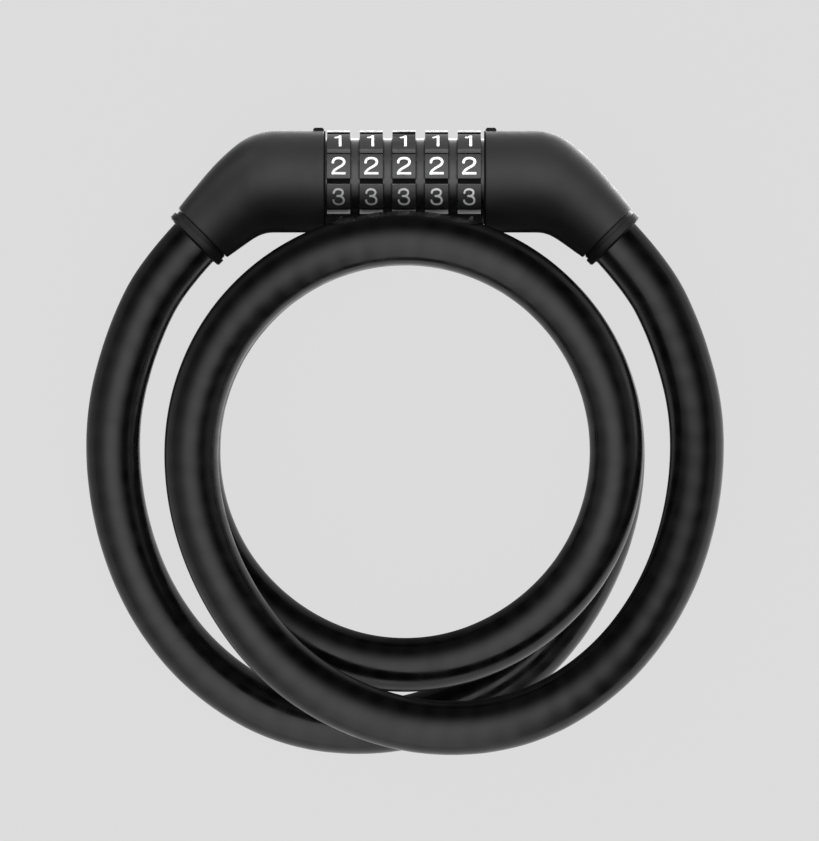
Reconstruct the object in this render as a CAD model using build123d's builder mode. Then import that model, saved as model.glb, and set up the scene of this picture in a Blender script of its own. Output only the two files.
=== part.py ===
from build123d import *
import math
import os

os.makedirs("parts", exist_ok=True)

# ---------------------------------------------------------------------------
# Combination cable lock, closed, lying flat with its cable in a coil.
# Millimetres. +Z up from the resting surface, +X along the lock's head from the
# barrel side towards the plug side, +Y from the middle of the coil to the head.
# Origin: middle of the coil, on the resting surface.
# ---------------------------------------------------------------------------

# cable
sheath_d = 12.0            # vinyl sheath, outside
core_d = 6.0               # steel strand core
core_gap = 0.05            # sheath bore to core, radial
coil_rise = 13.2           # each loop's middle above / below the head's axis
head_z = sheath_d / 2 + coil_rise
sheath_r = sheath_d / 2
core_r = core_d / 2
core_bore_r = core_r + core_gap

# head
head_y = 59.93             # head axis, from the middle of the coil
head_r = 11.33             # housings' straight part
face_left = -17.64         # barrel housing's face at the dials
face_right = 17.58         # plug housing's face at the dials
wall = 1.65                # housing cover

# number wheels
wheel_count = 5
wheel_w = 5.12
wheel_pitch = 7.25
first_wheel_x = -17.27     # left face of wheel 1
pad_r = 11.3
notch_floor_r = 9.6
notch_w = 1.42
hub_r = 8.0
spline_r = 8.6
hub_bore_r = 6.0
gate_w = 2.5
gate_r = 7.4
spacer_r = 9.53
spacer_w = 1.95

# barrel and shank
barrel_r = 5.9
barrel_bore_r = 3.6
slot_w = 2.4
shank_r = 3.5
tooth_w = 2.0
tooth_r = 7.15
tooth_len = 1.5
barrel_left = -27.0
barrel_right = 19.6
ring_left = 17.0           # retaining ring on the barrel's open end
ring_r = 9.4
tooth_pocket = -19.7       # pocket for the first tooth, inside the barrel housing

# cable ends
gland = (46.86, 46.57)     # middle of the collar's outer face (plug side)
collar_w = 1.8
collar_r = 7.57
collar_neck = 0.53
collar_neck_r = 7.33
collar_spigot_r = 6.85
collar_bore_r = 6.04
spigot_end = 5.0
sheath_end = 7.5           # how far the sheath goes in behind the collar's face
ferrule_r = 4.2
ferrule_start = 7.8        # depths behind the collar's face, along the cable
core_end = 15.8
ferrule_end = 18.8
ferrule_pin_at = 17.3
pin_r = 0.8                # ferrule pins
cross_pin_r = 1.0          # barrel's and shank's cross pins
cross_pin_x = 24.0
insert_gap = 0.08          # housing cover to insert

# Elbow sections: middle x, middle y, outer radius, tilt of the section's normal.
elbow = [
    (25.0, 59.93, 11.33, 0.0),
    (27.6, 59.93, 11.33, 0.0),
    (29.98, 59.90, 11.31, 1.5),
    (33.42, 58.91, 10.87, 8.9),
    (36.42, 56.88, 10.03, 16.7),
    (39.35, 54.28, 9.20, 24.6),
    (42.08, 51.50, 8.36, 33.0),
    (44.85, 48.58, 7.71, 45.0),
    (45.20, 48.23, 7.68, 45.0),
]

# Cable route, one half, from the middle of the cable to the plug: the corners
# that the bends round off. Heights are above the head's axis. The other half is
# the same, turned half a turn about the line through the coil's middle along Y.
route_half = [
    (9.41, -47.28, 0.17),
    (26.69, -39.94, 1.75),
    (39.89, -26.66, 4.30),
    (47.01, -9.35, 7.17),
    (47.02, 9.35, 10.09),
    (39.93, 26.68, 12.22),
    (26.75, 40.04, 12.98),
    (9.41, 47.32, 13.20),
    (-9.41, 47.33, 13.20),
    (-26.80, 40.11, 13.20),
    (-40.14, 26.82, 13.20),
    (-47.27, 9.40, 13.20),
    (-47.47, -9.44, 13.20),
    (-41.72, -27.88, 13.20),
    (-30.11, -45.06, 13.20),
    (-14.19, -56.91, 13.20),
    (5.44, -62.16, 13.20),
    (26.72, -60.02, 13.20),
    (44.89, -48.98, 12.13),
    (57.48, -32.52, 9.68),
    (64.15, -13.05, 6.55),
    (65.34, 7.44, 3.44),
    (60.31, 26.23, 0.90),
    (52.94, 40.49, 0.00),
    (41.56, 51.87, 0.00),
]
lead_run = 16              # run of route_half in which the lead to the plug begins

D45 = math.sqrt(0.5)


def across(x):
    """Plane across the head's axis at x: sketch X is +Y, sketch Y is +Z."""
    return Plane(origin=(x, head_y, head_z), x_dir=(0, 1, 0), z_dir=(1, 0, 0))


def elbow_plane(side, section):
    """Plane of one elbow section; side is -1 for the barrel side, +1 for the plug side."""
    x, y, _, tilt = section
    t = math.radians(tilt)
    return Plane(
        origin=(side * x, y, head_z),
        x_dir=(0, 0, 1),
        z_dir=(side * math.cos(t), -math.sin(t), 0),
    )


def cable_plane(side, depth):
    """Plane across the cable at its entry, depth behind the collar's face, looking inwards."""
    return Plane(
        origin=(
            side * (gland[0] - depth * D45),
            gland[1] + depth * D45,
            head_z,
        ),
        x_dir=(0, 0, 1),
        z_dir=(-side * D45, D45, 0),
    )


def save(part, label):
    part.label = label
    export_step(part, f"parts/{label}.step")


# --- cable -----------------------------------------------------------------
half = [Vector(x, y, z + head_z) for x, y, z in route_half]
other = [Vector(-x, y, head_z - z) for x, y, z in reversed(route_half)]
route = other + half
split_at = len(other) + lead_run
split_point = (route[split_at] + route[split_at + 1]) * 0.5


def bend_radii(points):
    radii = []
    for a, b, c in zip(points, points[1:], points[2:]):
        turn = math.radians((b - a).get_angle(c - b))
        run = min((b - a).length, (c - b).length)
        radii.append(0.45 * run / math.tan(turn / 2))
    return radii


radii = bend_radii(route)
coil_points = route[: split_at + 1] + [split_point]
coil_radii = radii[:split_at]
lead_points = [split_point] + route[split_at + 1:]
lead_radii = radii[split_at:]
print("bend radii, mm:", [round(r, 1) for r in radii])
print("runs, mm:", [round((b - a).length, 1) for a, b in zip(route, route[1:])])

cable_lengths = {}
for name, points, bends in (
    ("cable", coil_points, coil_radii),
    ("cable_lead", lead_points, lead_radii),
):
    start_plane = Plane(origin=points[0], z_dir=points[1] - points[0])
    with BuildPart() as sheath:
        with BuildLine() as sheath_path:
            FilletPolyline(*points, radius=bends)
        with BuildSketch(start_plane):
            Circle(sheath_r)
            Circle(core_bore_r, mode=Mode.SUBTRACT)
        sweep()
    length = sum(e.length for e in sheath_path.edges())
    cable_lengths[name] = length
    print(
        name,
        "length %.1f mm, sheath volume %.1f, section x length %.1f"
        % (
            length,
            sheath.part.volume,
            math.pi * (sheath_r**2 - core_bore_r**2) * length,
        ),
    )
    save(sheath.part, name + "_sheath")

# The core runs on past the sheath into each ferrule.
core_tail = core_end - sheath_end
for name, points, bends in (
    (
        "cable",
        [coil_points[0] - (coil_points[1] - coil_points[0]).normalized() * core_tail]
        + coil_points[1:],
        coil_radii,
    ),
    (
        "cable_lead",
        lead_points[:-1]
        + [lead_points[-1] + (lead_points[-1] - lead_points[-2]).normalized() * core_tail],
        lead_radii,
    ),
):
    with BuildPart() as core:
        with BuildLine() as core_path:
            FilletPolyline(*points, radius=bends)
        with BuildSketch(Plane(origin=points[0], z_dir=points[1] - points[0])):
            Circle(core_r)
        sweep()
    save(core.part, name + "_core")

# --- housings' covers, collars, ferrules, pins and index marks ---------------
for side, prefix, face in ((-1, "barrel", face_left), (1, "plug", face_right)):
    with BuildPart() as elbow_cover:
        # straight part, then the tapering bend
        with BuildSketch(across(side * elbow[0][0])):
            Circle(head_r)
        extrude(amount=-side * (elbow[0][0] - abs(face)))
        for section in elbow[:-1]:
            with BuildSketch(elbow_plane(side, section)):
                Circle(section[2])
        loft()
        with BuildSketch(elbow_plane(side, elbow[-1])):
            Circle(elbow[-2][2])
        extrude(amount=-0.5)
        rims = elbow_cover.edges().filter_by(GeomType.CIRCLE)
        fillet(rims.sort_by(lambda e: abs(e.center().X))[0], 0.45)
        rims = elbow_cover.edges().filter_by(GeomType.CIRCLE)
        fillet(rims.sort_by(lambda e: abs(e.center().X))[-1], 0.3)
        # hollow inside
        with BuildSketch(across(side * elbow[0][0])):
            Circle(head_r - wall)
        extrude(amount=-side * (elbow[0][0] - abs(face)), mode=Mode.SUBTRACT)
        for section in elbow[:-1]:
            with BuildSketch(elbow_plane(side, section)):
                Circle(max(section[2] - wall, sheath_r + 0.05))
        loft(mode=Mode.SUBTRACT)
        # mouth for the collar's spigot and the sheath
        with BuildSketch(cable_plane(side, 0)):
            Circle(collar_spigot_r + 0.03)
        extrude(amount=spigot_end + 0.1, mode=Mode.SUBTRACT)
        with BuildSketch(cable_plane(side, 0)):
            Circle(sheath_r + 0.05)
        extrude(amount=sheath_end, mode=Mode.SUBTRACT)
        # pocket for the index mark, on top of the straight part
        with BuildSketch(
            Plane(
                origin=(side * (abs(face) + 1.55), head_y + head_r - 0.75, head_z),
                x_dir=(1, 0, 0),
                z_dir=(0, 1, 0),
            )
        ):
            Rectangle(2.44, 1.64)
        extrude(amount=2, mode=Mode.SUBTRACT)
    save(elbow_cover.part, prefix + "_elbow_cover")

    with BuildPart() as index_mark:
        with BuildSketch(
            Plane(
                origin=(side * (abs(face) + 1.55), head_y + head_r - 0.75, head_z),
                x_dir=(1, 0, 0),
                z_dir=(0, 1, 0),
            )
        ):
            Rectangle(2.4, 1.6)
        extrude(amount=0.75 + 0.65)
        top = index_mark.faces().sort_by(Axis.Y)[-1]
        chamfer(top.edges(), 0.35)
    save(index_mark.part, prefix + "_index_mark")

    with BuildPart() as cable_collar:
        with BuildSketch(cable_plane(side, 0)):
            Circle(collar_r)
        extrude(amount=collar_w)
        chamfer(cable_collar.edges().filter_by(GeomType.CIRCLE), 0.28)
        with BuildSketch(cable_plane(side, collar_w)):
            Circle(collar_neck_r)
        extrude(amount=collar_neck)
        with BuildSketch(cable_plane(side, collar_w + collar_neck)):
            Circle(collar_spigot_r)
        extrude(amount=spigot_end - collar_w - collar_neck)
        with BuildSketch(cable_plane(side, 0)):
            Circle(collar_bore_r)
        extrude(amount=spigot_end, mode=Mode.SUBTRACT)
    save(cable_collar.part, prefix + "_cable_collar")

    with BuildPart() as ferrule:
        with BuildSketch(cable_plane(side, ferrule_start)):
            Circle(ferrule_r)
        extrude(amount=ferrule_end - ferrule_start)
        chamfer(ferrule.edges().filter_by(GeomType.CIRCLE), 0.4)
        with BuildSketch(cable_plane(side, ferrule_start)):
            Circle(core_r + 0.02)
        extrude(amount=core_end - ferrule_start + 0.1, mode=Mode.SUBTRACT)
        pin_middle = cable_plane(side, ferrule_pin_at).origin
        with BuildSketch(Plane(origin=pin_middle)):
            Circle(pin_r + 0.02)
        extrude(amount=ferrule_r + 1, both=True, mode=Mode.SUBTRACT)
    save(ferrule.part, prefix + "_ferrule")

    with BuildPart() as ferrule_pin:
        with BuildSketch(Plane(origin=pin_middle)):
            Circle(pin_r)
        extrude(amount=8.2, both=True)
        chamfer(ferrule_pin.edges().filter_by(GeomType.CIRCLE), 0.2)
    save(ferrule_pin.part, prefix + "_ferrule_pin")

    # zinc core of the housing, which holds the barrel or the shank and the ferrule
    insert_start = 17.55 if side < 0 else 20.6
    bore_end = abs(barrel_left) if side < 0 else 27.5
    bore_r = barrel_r if side < 0 else shank_r
    with BuildPart() as elbow_insert:
        with BuildSketch(across(side * elbow[0][0])):
            Circle(head_r - wall - insert_gap)
        extrude(amount=-side * (elbow[0][0] - insert_start))
        for section in elbow[:-1]:
            with BuildSketch(elbow_plane(side, section)):
                Circle(max(section[2] - wall, sheath_r + 0.05) - insert_gap)
        loft()
        # ends where the sheath does
        with BuildSketch(cable_plane(side, sheath_end + 0.1)):
            Circle(20)
        extrude(amount=-12, mode=Mode.SUBTRACT)
        with BuildSketch(cable_plane(side, sheath_end)):
            Circle(ferrule_r + 0.02)
        extrude(amount=ferrule_end + 0.1 - sheath_end, mode=Mode.SUBTRACT)
        with BuildSketch(Plane(origin=pin_middle)):
            Circle(pin_r + 0.02)
        extrude(amount=12, both=True, mode=Mode.SUBTRACT)
        # bore for the barrel or the shank, and its cross pin
        with BuildSketch(across(side * bore_end)):
            Circle(bore_r + 0.02)
        extrude(amount=-side * (bore_end - 10), mode=Mode.SUBTRACT)
        with BuildSketch(
            Plane(origin=(side * cross_pin_x, head_y, head_z))
        ):
            Circle(cross_pin_r + 0.02)
        extrude(amount=12, both=True, mode=Mode.SUBTRACT)
        if side < 0:
            # pocket for the first tooth
            with BuildSketch(across(tooth_pocket)):
                with Locations((-(barrel_r + tooth_r + 0.3) / 2, 0)):
                    Rectangle(tooth_r + 0.3 - barrel_r + 1, gate_w + 0.3)
            extrude(amount=5, mode=Mode.SUBTRACT)
    save(elbow_insert.part, prefix + "_elbow_insert")

    with BuildPart() as cross_pin:
        with BuildSketch(
            Plane(origin=(side * cross_pin_x, head_y, head_z))
        ):
            Circle(cross_pin_r)
        extrude(amount=9.2, both=True)
        chamfer(cross_pin.edges().filter_by(GeomType.CIRCLE), 0.25)
    save(cross_pin.part, "barrel_cross_pin" if side < 0 else "shank_cross_pin")


# --- barrel ------------------------------------------------------------------
wheel_middles = [
    first_wheel_x + wheel_w / 2 + i * wheel_pitch for i in range(wheel_count)
]
with BuildPart() as lock_barrel:
    with BuildSketch(across(barrel_left)):
        Circle(barrel_r)
    extrude(amount=barrel_right - barrel_left)
    chamfer(lock_barrel.edges().filter_by(GeomType.CIRCLE), 0.2)
    with BuildSketch(across(tooth_pocket - 0.6)):
        Circle(barrel_bore_r)
    extrude(amount=barrel_right - tooth_pocket + 2, mode=Mode.SUBTRACT)
    # slot for the shank's teeth, along the side towards the coil
    with BuildSketch(across(tooth_pocket)):
        with Locations((-5, 0)):
            Rectangle(6, slot_w)
    extrude(amount=barrel_right - tooth_pocket + 2, mode=Mode.SUBTRACT)
    # groove for the detent spring, opposite the slot
    with BuildSketch(across(face_left + 0.2)):
        with Locations((barrel_r, 0)):
            Rectangle(1.5, 2.2)
    extrude(amount=face_right - face_left - 1.6, mode=Mode.SUBTRACT)
    # cross pin
    with BuildSketch(Plane(origin=(-cross_pin_x, head_y, head_z))):
        Circle(cross_pin_r + 0.02)
    extrude(amount=12, both=True, mode=Mode.SUBTRACT)
save(lock_barrel.part, "lock_barrel")

with BuildPart() as detent_spring:
    strip_left = face_left + 0.4
    strip_right = face_right - 1.8
    with BuildSketch(across(strip_left)):
        with Locations((5.36, 0)):
            Rectangle(0.3, 2.0)
    extrude(amount=strip_right - strip_left)
    for middle in wheel_middles:
        with BuildSketch(across(middle - 1.2)):
            with Locations((5.85, 0)):
                Circle(0.5)
        extrude(amount=2.4)
save(detent_spring.part, "detent_spring")

with BuildPart() as retaining_ring:
    with BuildSketch(across(ring_left)):
        Circle(ring_r)
        Circle(barrel_r + 0.02, mode=Mode.SUBTRACT)
        with Locations((-gate_r / 2 - 0.15, 0)):
            Rectangle(gate_r + 0.3, gate_w + 0.3, mode=Mode.SUBTRACT)
    extrude(amount=barrel_right - ring_left)
    chamfer(
        retaining_ring.edges().filter_by(GeomType.CIRCLE).group_by(SortBy.RADIUS)[-1],
        0.3,
    )
save(retaining_ring.part, "barrel_retaining_ring")

for i in range(wheel_count - 1):
    spacer_x = (wheel_middles[i] + wheel_middles[i + 1] - spacer_w) / 2
    with BuildPart() as spacer_ring:
        with BuildSketch(across(spacer_x)):
            Circle(spacer_r)
        extrude(amount=spacer_w)
        fillet(spacer_ring.edges().filter_by(GeomType.CIRCLE), 0.3)
        with BuildSketch(across(spacer_x)):
            Circle(barrel_r + 0.03)
            with Locations((-gate_r / 2 - 0.15, 0)):
                Rectangle(gate_r + 0.3, gate_w + 0.3)
        extrude(amount=spacer_w, mode=Mode.SUBTRACT)
    save(spacer_ring.part, f"spacer_ring_{i + 1}")

# --- number wheels -------------------------------------------------------------
for i, middle in enumerate(wheel_middles):
    left = middle - wheel_w / 2
    with BuildPart() as dial_wheel:
        with BuildSketch(across(left)):
            Circle(pad_r)
        extrude(amount=wheel_w)
        chamfer(dial_wheel.edges().filter_by(GeomType.CIRCLE), 0.35)
        # ten number pads, with a notch between each two
        with BuildSketch(across(left)):
            with PolarLocations((notch_floor_r + pad_r + 0.6) / 2, 10, start_angle=18):
                Rectangle(pad_r + 0.6 - notch_floor_r, notch_w)
        extrude(amount=wheel_w, mode=Mode.SUBTRACT)
        # bore, with ten grooves that the hub's splines sit in
        with BuildSketch(across(left)):
            Circle(hub_r + 0.02)
            with PolarLocations(hub_r, 10):
                Rectangle(2 * (spline_r - hub_r) + 0.04, 1.24)
        extrude(amount=wheel_w, mode=Mode.SUBTRACT)
    save(dial_wheel.part, f"dial_wheel_{i + 1}")

    with BuildPart() as wheel_hub:
        with BuildSketch(across(left + 0.06)):
            Circle(hub_r)
            with PolarLocations(hub_r, 10):
                Rectangle(2 * (spline_r - hub_r), 1.2)
            Circle(hub_bore_r, mode=Mode.SUBTRACT)
            # detent notches, and the gate for the shank's teeth
            with PolarLocations(hub_bore_r - 0.05, 10):
                Circle(0.65, mode=Mode.SUBTRACT)
            with Locations((-gate_r / 2, 0)):
                Rectangle(gate_r, gate_w, mode=Mode.SUBTRACT)
        extrude(amount=wheel_w - 0.12)
    save(wheel_hub.part, f"wheel_hub_{i + 1}")

# --- shank ---------------------------------------------------------------------
with BuildPart() as locking_shank:
    with BuildSketch(across(tooth_pocket - 0.2)):
        Circle(shank_r)
    extrude(amount=27.4 - tooth_pocket + 0.2)
    chamfer(locking_shank.edges().filter_by(GeomType.CIRCLE), 0.5)
    for i, middle in enumerate(wheel_middles):
        with BuildSketch(across(middle - wheel_pitch / 2 - tooth_len / 2)):
            with Locations((-tooth_r / 2, 0)):
                Rectangle(tooth_r, tooth_w)
        extrude(amount=tooth_len)
    with BuildSketch(Plane(origin=(cross_pin_x, head_y, head_z))):
        Circle(cross_pin_r + 0.02)
    extrude(amount=12, both=True, mode=Mode.SUBTRACT)
save(locking_shank.part, "locking_shank")

print("cable, from gland to gland inside the collars' faces: %.1f mm"
      % (sum(cable_lengths.values()) - 2 * sheath_end))
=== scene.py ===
import math

import bmesh
import bpy
import numpy as np
from mathutils import Matrix, Vector


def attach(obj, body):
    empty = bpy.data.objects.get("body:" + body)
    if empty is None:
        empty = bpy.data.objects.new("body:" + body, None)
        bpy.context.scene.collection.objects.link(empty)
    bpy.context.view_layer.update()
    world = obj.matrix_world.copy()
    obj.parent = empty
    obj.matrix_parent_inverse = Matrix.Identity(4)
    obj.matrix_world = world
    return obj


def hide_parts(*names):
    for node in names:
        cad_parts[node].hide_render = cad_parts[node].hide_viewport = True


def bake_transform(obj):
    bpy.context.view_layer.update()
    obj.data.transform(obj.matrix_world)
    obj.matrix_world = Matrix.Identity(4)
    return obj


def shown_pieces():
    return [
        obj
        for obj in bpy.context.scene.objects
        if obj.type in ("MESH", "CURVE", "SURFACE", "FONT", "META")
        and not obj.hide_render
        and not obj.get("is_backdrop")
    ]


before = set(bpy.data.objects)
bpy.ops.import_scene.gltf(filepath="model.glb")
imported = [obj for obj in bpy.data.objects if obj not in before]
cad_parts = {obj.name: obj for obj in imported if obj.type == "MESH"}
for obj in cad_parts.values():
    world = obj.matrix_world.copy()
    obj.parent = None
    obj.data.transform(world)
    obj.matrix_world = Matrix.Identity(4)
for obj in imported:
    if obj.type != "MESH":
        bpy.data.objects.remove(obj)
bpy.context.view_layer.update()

MM = 0.001
scene = bpy.context.scene

# ---------------------------------------------------------------------------
# Driving sizes, in millimetres, the same as the CAD's
# ---------------------------------------------------------------------------
HEAD_Y, HEAD_Z = 59.93, 19.2
HEAD_R = 11.33
FACE_L, FACE_R = -17.64, 17.58
WALL = 1.65
SHEATH_R = 6.0
GLAND = (46.86, 46.57)
WHEEL_W, WHEEL_PITCH, FIRST_WHEEL = 5.12, 7.25, -17.27
PAD_R, NOTCH_FLOOR, NOTCH_W = 11.3, 9.6, 1.42
HUB_R = 8.02
SPACER_R, SPACER_W = 9.53, 2.12
ELBOW = [
    (25.0, 59.93, 11.33, 0.0),
    (27.6, 59.93, 11.33, 0.0),
    (29.98, 59.90, 11.31, 1.5),
    (33.42, 58.91, 10.87, 8.9),
    (36.42, 56.88, 10.03, 16.7),
    (39.35, 54.28, 9.20, 24.6),
    (42.08, 51.50, 8.36, 33.0),
    (44.85, 48.58, 7.71, 45.0),
]
WHEEL_X = [FIRST_WHEEL + WHEEL_W / 2 + i * WHEEL_PITCH for i in range(5)]

# ---------------------------------------------------------------------------
# Camera: straight down on the lock as it lies, from far off
# ---------------------------------------------------------------------------
IMAGE_W, IMAGE_H = 819, 841
MM_PER_PX = 0.2222
AIM = ((409.5 - 404.9) * MM_PER_PX * MM, (451.3 - 420.5) * MM_PER_PX * MM)
CAM_H = 8.0
cam_data = bpy.data.cameras.new("camera")
cam = bpy.data.objects.new("camera", cam_data)
scene.collection.objects.link(cam)
cam_data.sensor_width = 36.0
cam_data.sensor_fit = "AUTO"
cam_data.lens = 36.0 * CAM_H / (IMAGE_H * MM_PER_PX * MM)
cam_data.clip_start, cam_data.clip_end = 0.05, 60
cam.location = (AIM[0], AIM[1], HEAD_Z * MM + CAM_H)
cam.rotation_euler = (0, 0, 0)
scene.camera = cam

# ---------------------------------------------------------------------------
# Mesh helpers. Shapes are given in millimetres.
# ---------------------------------------------------------------------------


def new_object(name, verts, faces, smooth=True, scale=MM):
    mesh = bpy.data.meshes.new(name)
    mesh.from_pydata([tuple(float(c) * scale for c in v) for v in verts], [], faces)
    mesh.validate()
    bm = bmesh.new()
    bm.from_mesh(mesh)
    bmesh.ops.recalc_face_normals(bm, faces=bm.faces)
    bm.to_mesh(mesh)
    bm.free()
    if smooth:
        mesh.polygons.foreach_set("use_smooth", [True] * len(mesh.polygons))
    obj = bpy.data.objects.new(name, mesh)
    scene.collection.objects.link(obj)
    return obj


def give(obj, material):
    obj.data.materials.clear()
    obj.data.materials.append(material)


def ring_faces(rings, n, closed):
    """Quads between rings of n points each; closed joins the last ring to the first."""
    faces = []
    count = rings if closed else rings - 1
    for i in range(count):
        a, b = i * n, ((i + 1) % rings) * n
        for j in range(n):
            k = (j + 1) % n
            faces.append((a + j, a + k, b + k, b + j))
    return faces


def round_corners(points, steps=5):
    """A closed profile of (a, b, radius): each corner with a radius becomes an arc."""
    out = []
    n = len(points)
    for i in range(n):
        p0, p1, p2 = (np.array(points[(i + d) % n][:2], float) for d in (-1, 0, 1))
        r = points[i][2]
        if r <= 0:
            out.append(tuple(p1))
            continue
        u, v = p0 - p1, p2 - p1
        lu, lv = np.linalg.norm(u), np.linalg.norm(v)
        u, v = u / lu, v / lv
        half = math.acos(max(-1, min(1, float(u @ v)))) / 2
        cut = min(r / math.tan(half), 0.49 * lu, 0.49 * lv)
        r = cut * math.tan(half)
        a, b = p1 + u * cut, p1 + v * cut
        centre = p1 + (u + v) / np.linalg.norm(u + v) * (r / math.sin(half))
        a0 = math.atan2(*(a - centre)[::-1])
        a1 = math.atan2(*(b - centre)[::-1])
        d = (a1 - a0 + math.pi) % (2 * math.pi) - math.pi
        for s in range(steps + 1):
            t = a0 + d * s / steps
            out.append((centre[0] + r * math.cos(t), centre[1] + r * math.sin(t)))
    return out


def lathe(name, profile, origin, axis, n=160):
    """A closed profile of (along, radius) turned about an axis through origin."""
    axis = Vector(axis).normalized()
    side = Vector((0, 0, 1))
    up = axis.cross(side).normalized()
    origin = Vector(origin)
    verts = []
    for along, radius in profile:
        for j in range(n):
            t = 2 * math.pi * j / n
            verts.append(
                origin
                + axis * along
                + (side * math.cos(t) + up * math.sin(t)) * radius
            )
    return new_object(name, verts, ring_faces(len(profile), n, True))


def crease(obj, angle=32):
    """Smooth shading with sharp edges over that angle."""
    mesh = obj.data
    bm = bmesh.new()
    bm.from_mesh(mesh)
    limit = math.radians(angle)
    for e in bm.edges:
        e.smooth = not (len(e.link_faces) == 2 and e.calc_face_angle(0) > limit)
    bm.to_mesh(mesh)
    bm.free()


# ---------------------------------------------------------------------------
# Cable: the route's corners, in metres, from the barrel side to the plug side
# ---------------------------------------------------------------------------
HALF = [
    (0.00941, -0.04746, 0.00017),
    (0.02669, -0.03994, 0.00175),
    (0.03989, -0.02666, 0.00430),
    (0.04701, -0.00935, 0.00717),
    (0.04702, 0.00935, 0.01009),
    (0.03993, 0.02668, 0.01222),
    (0.02675, 0.04004, 0.01298),
    (0.00941, 0.04732, 0.01320),
    (-0.00941, 0.04733, 0.01320),
    (-0.02680, 0.04011, 0.01320),
    (-0.04014, 0.02682, 0.01320),
    (-0.04727, 0.00940, 0.01320),
    (-0.04747, -0.00944, 0.01320),
    (-0.04172, -0.02788, 0.01320),
    (-0.03011, -0.04506, 0.01320),
    (-0.01419, -0.05645, 0.01320),
    (0.00544, -0.06216, 0.01320),
    (0.02672, -0.06002, 0.01320),
    (0.04489, -0.04898, 0.01213),
    (0.05748, -0.03252, 0.00968),
    (0.06415, -0.01305, 0.00655),
    (0.06534, 0.00744, 0.00344),
    (0.06031, 0.02623, 0.00090),
    (0.05294, 0.04049, 0.00000),
    (0.04156, 0.05187, 0.00000),
]
LEAD_RUN = 16
MID_Z = HEAD_Z * MM
route = [(-x, y, MID_Z - z) for x, y, z in reversed(HALF)] + [
    (x, y, MID_Z + z) for x, y, z in HALF
]
split_at = len(HALF) + LEAD_RUN
split_point = (Vector(route[split_at]) + Vector(route[split_at + 1])) / 2

curve = bpy.data.curves.new("cable_route", "CURVE")
curve.dimensions = "3D"
curve.resolution_u = 24
spline = curve.splines.new("NURBS")
spline.points.add(len(route) - 1)
for point, (x, y, z) in zip(spline.points, route):
    point.co = (x, y, z, 1)
spline.order_u = 3
spline.use_endpoint_u = True
route_object = bpy.data.objects.new("cable_route", curve)
line_mesh = bpy.data.meshes.new_from_object(route_object)
line = [v.co.copy() for v in line_mesh.vertices]
bpy.data.meshes.remove(line_mesh)
bpy.data.objects.remove(route_object)
bpy.data.curves.remove(curve)

AROUND = 64
tangents = [
    (line[min(i + 1, len(line) - 1)] - line[max(i - 1, 0)]).normalized()
    for i in range(len(line))
]
along = [0.0]
for a, b in zip(line, line[1:]):
    along.append(along[-1] + (b - a).length)
side = Vector((0, 0, 1))
frames = []
for t in tangents:
    side = (side - t * side.dot(t)).normalized()
    frames.append((side.copy(), t.cross(side).normalized()))
nearest = min(range(len(line)), key=lambda i: (line[i] - split_point).length)


def tube(name, first, last):
    """A closed tube along line[first..last], with UVs: metres along and turns around."""
    verts, faces = [], []
    rows = range(first, last + 1)
    for i in rows:
        s, u = frames[i]
        for j in range(AROUND):
            a = 2 * math.pi * j / AROUND
            verts.append(line[i] + (s * math.cos(a) + u * math.sin(a)) * SHEATH_R * MM)
    n = len(rows)
    faces = ring_faces(n, AROUND, False)
    faces.append(tuple(range(AROUND)))
    faces.append(tuple(range((n - 1) * AROUND, n * AROUND))[::-1])
    mesh = bpy.data.meshes.new(name)
    mesh.from_pydata([tuple(v) for v in verts], [], faces)
    uv = mesh.uv_layers.new(name="along_around")
    for poly in mesh.polygons:
        for loop in poly.loop_indices:
            v = mesh.loops[loop].vertex_index
            row, col = divmod(v, AROUND)
            if len(poly.vertices) == 4 and col == 0 and max(
                w % AROUND for w in poly.vertices
            ) == AROUND - 1:
                col = AROUND
            uv.data[loop].uv = (along[first + row] / 0.1, col / AROUND)
    bm = bmesh.new()
    bm.from_mesh(mesh)
    bmesh.ops.recalc_face_normals(bm, faces=bm.faces)
    for f in bm.faces:
        f.smooth = len(f.verts) == 4
    for e in bm.edges:
        e.smooth = all(len(f.verts) == 4 for f in e.link_faces)
    bm.to_mesh(mesh)
    bm.free()
    obj = bpy.data.objects.new(name, mesh)
    scene.collection.objects.link(obj)
    return obj


cable_coil = tube("cable_coil", 0, nearest)
cable_lead = tube("cable_lead", nearest, len(line) - 1)

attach(cable_coil, "barrel_side")
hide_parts("cable_sheath", "cable_core")
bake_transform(cable_lead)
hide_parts("cable_lead_sheath", "cable_lead_core")

# ---------------------------------------------------------------------------
# Materials: procedural, in the real scale of the surface
# ---------------------------------------------------------------------------


def node_material(name):
    m = bpy.data.materials.new(name)
    m.use_nodes = True
    tree = m.node_tree
    tree.nodes.clear()
    out = tree.nodes.new("ShaderNodeOutputMaterial")
    shader = tree.nodes.new("ShaderNodeBsdfPrincipled")
    tree.links.new(shader.outputs["BSDF"], out.inputs["Surface"])
    return m, tree, shader


def noise(tree, vector, scale, detail=3.0, rough=0.55):
    n = tree.nodes.new("ShaderNodeTexNoise")
    n.inputs["Scale"].default_value = scale
    n.inputs["Detail"].default_value = detail
    n.inputs["Roughness"].default_value = rough
    tree.links.new(vector, n.inputs["Vector"])
    return n.outputs["Fac"]


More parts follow.
